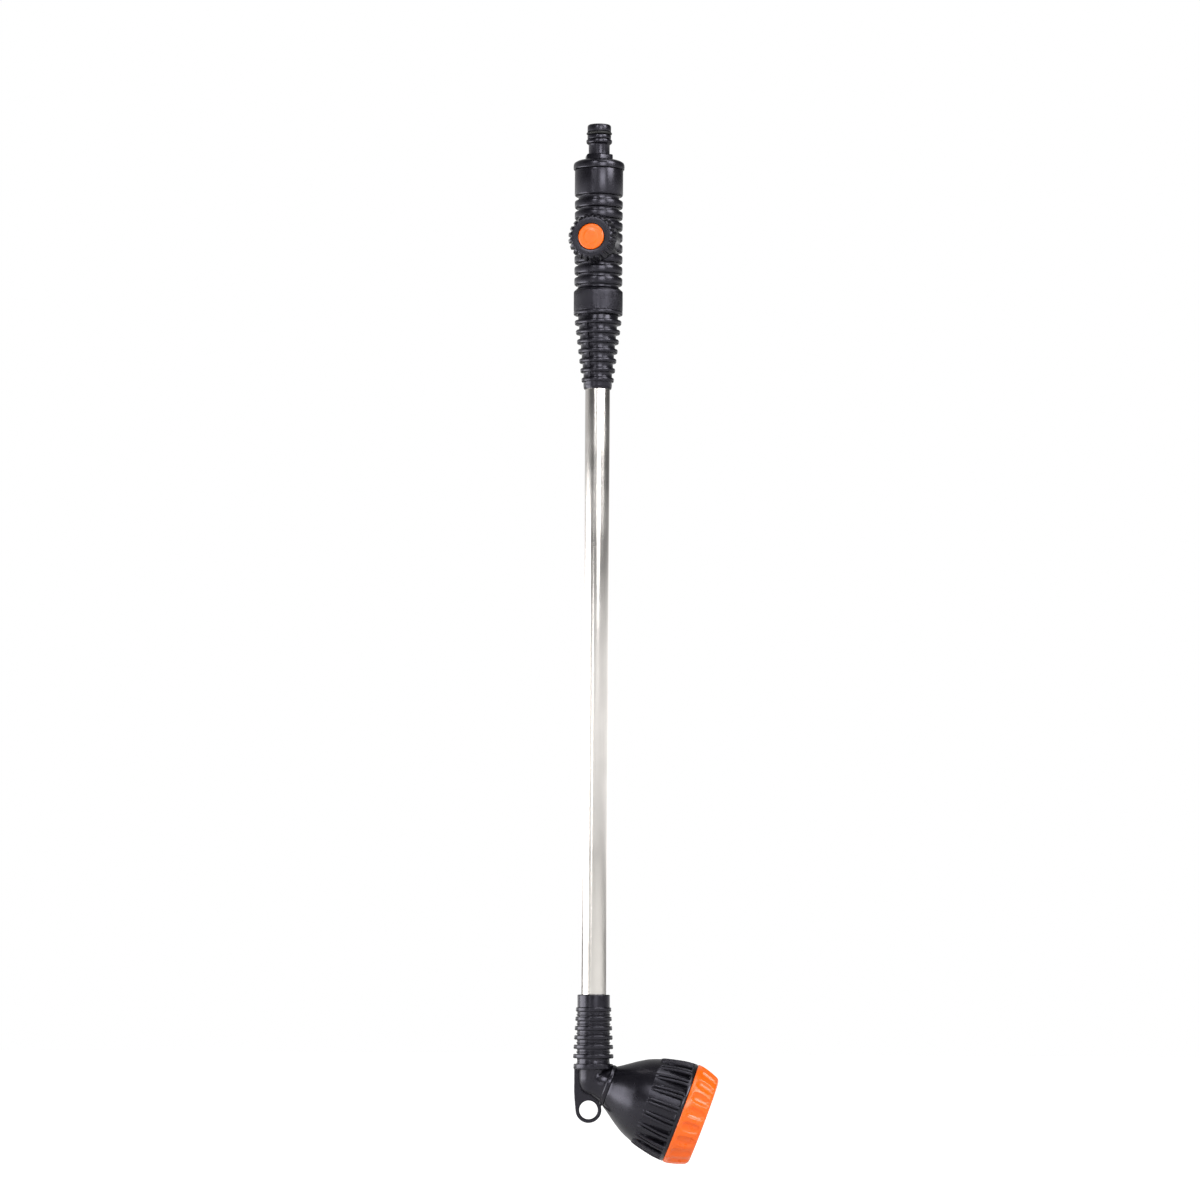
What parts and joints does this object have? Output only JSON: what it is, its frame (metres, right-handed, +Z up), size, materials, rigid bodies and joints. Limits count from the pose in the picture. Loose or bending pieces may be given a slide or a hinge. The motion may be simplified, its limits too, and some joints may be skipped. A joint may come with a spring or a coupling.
{
  "type": "watering wand",
  "caption": "Long garden watering wand: ribbed handle with a quarter-turn knob valve and hose nipple, aluminium tube, angled shower rose with a grip ring, and a hanging ring.",
  "frame": {"origin": "centre of the hose nipple's mouth, on the tube's axis", "axes": "+Z up the tube towards the hose, +X the side that the rose looks to, -Y the side that the knob is on"},
  "size_m": [0.1039, 0.0686, 0.6976],
  "materials": {
    "black_plastic": "moulded black ABS, satin",
    "orange_plastic": "moulded orange ABS, semi-gloss",
    "anodised_aluminium": "clear anodised drawn tube, satin",
    "stainless_steel": "stamped stainless sheet, bright",
    "stem_brass": "turned brass",
    "seal_rubber": "moulded nitrile rubber",
    "white_ptfe": "machined white PTFE or acetal"
  },
  "bodies": {
    "handle": {"hose_nipple": "black_plastic", "nipple_o_ring": "seal_rubber", "end_cap": "black_plastic", "cap_seal": "seal_rubber", "valve_body": "black_plastic", "seat_carrier": "black_plastic", "ball_seat_inlet": "white_ptfe", "ball_seat_outlet": "white_ptfe", "stem_bonnet": "black_plastic", "swivel_seal": "seal_rubber"},
    "valve_spindle": {"valve_ball": "white_ptfe", "valve_stem": "stem_brass", "stem_o_ring_inner": "seal_rubber", "stem_o_ring_outer": "seal_rubber", "valve_knob": "black_plastic", "knob_cap": "orange_plastic", "knob_screw": "stainless_steel"},
    "nut_washer": {"nut_slip_washer": "white_ptfe"},
    "union_nut": {"union_nut": "black_plastic"},
    "lance": {"taper_sleeve": "black_plastic", "tube_spigot": "black_plastic", "tube_o_ring": "seal_rubber", "lance_tube": "anodised_aluminium", "head_grip_sleeve": "black_plastic", "elbow_body": "black_plastic", "elbow_o_ring_upper": "seal_rubber", "elbow_o_ring_lower": "seal_rubber", "rose_joint_washer": "seal_rubber", "rose_shell": "black_plastic"},
    "spray_plate": {"rose_plate": "stainless_steel", "rose_gasket": "seal_rubber"},
    "bezel": {"bezel_ring": "orange_plastic"}
  },
  "joints": [
    {"name": "knob_turn", "type": "hinge", "parent": "handle", "child": "valve_spindle", "pos_m": [0, 0, -0.0797], "axis": [0.1908, 0.9816, 0], "range_deg": [0, 90]},
    {"name": "nut_travel", "type": "slide", "parent": "handle", "child": "nut_washer", "axis": [0, 0, -1], "range_m": [0, 0.002]},
    {"name": "nut_turn", "type": "hinge", "parent": "nut_washer", "child": "union_nut", "pos_m": [0, 0, -0.12], "axis": [0, 0, -1], "range_deg": [0, 360]},
    {"name": "lance_swivel", "type": "hinge", "parent": "handle", "child": "lance", "pos_m": [0, 0, -0.1245], "axis": [0, 0, 1], "continuous": true},
    {"name": "plate_travel", "type": "slide", "parent": "lance", "child": "spray_plate", "axis": [0.9379, 0, -0.3469], "range_m": [0, 0.006]},
    {"name": "bezel_turn", "type": "hinge", "parent": "spray_plate", "child": "bezel", "pos_m": [0.01097, 0, -0.64626], "axis": [0.9379, 0, -0.3469], "range_deg": [0, 720]}
  ],
  "couplings": [
    {"joint": "nut_travel", "follows": "nut_turn", "m_per_rad": 0.0003183},
    {"joint": "plate_travel", "follows": "bezel_turn", "m_per_rad": 0.00047745}
  ]
}
